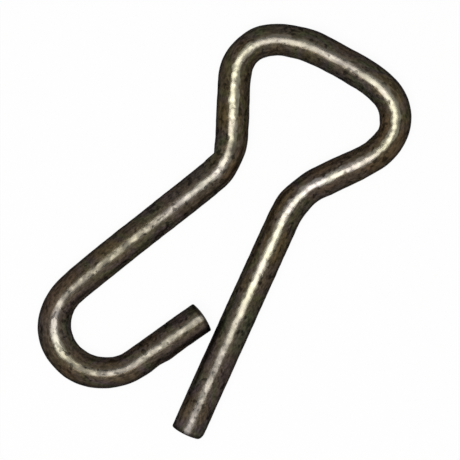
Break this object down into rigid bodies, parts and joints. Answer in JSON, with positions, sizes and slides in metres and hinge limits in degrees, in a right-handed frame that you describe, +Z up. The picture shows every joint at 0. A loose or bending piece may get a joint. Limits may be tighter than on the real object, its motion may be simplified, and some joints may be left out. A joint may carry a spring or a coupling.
{
  "type": "hitch pin retaining clip",
  "caption": "Flat spring-wire R clip: a straight leg goes through a hitch pin's cross hole, a hooked leg snaps around the pin's shaft, and an open loop is pulled to take it out.",
  "frame": {"origin": "middle of the clip's bounding box, on the flat side that it lies on", "axes": "+X along the straight leg towards its free tip, +Y from the hook towards the straight leg, +Z up, square to the plane of the clip"},
  "size_m": [0.0523, 0.0331, 0.004],
  "materials": {
    "wire_steel": "oil-darkened drawn spring steel, with a mottled sheen along the crown of the wire"
  },
  "bodies": {
    "root": {"clip_wire": "wire_steel"}
  },
  "joints": []
}
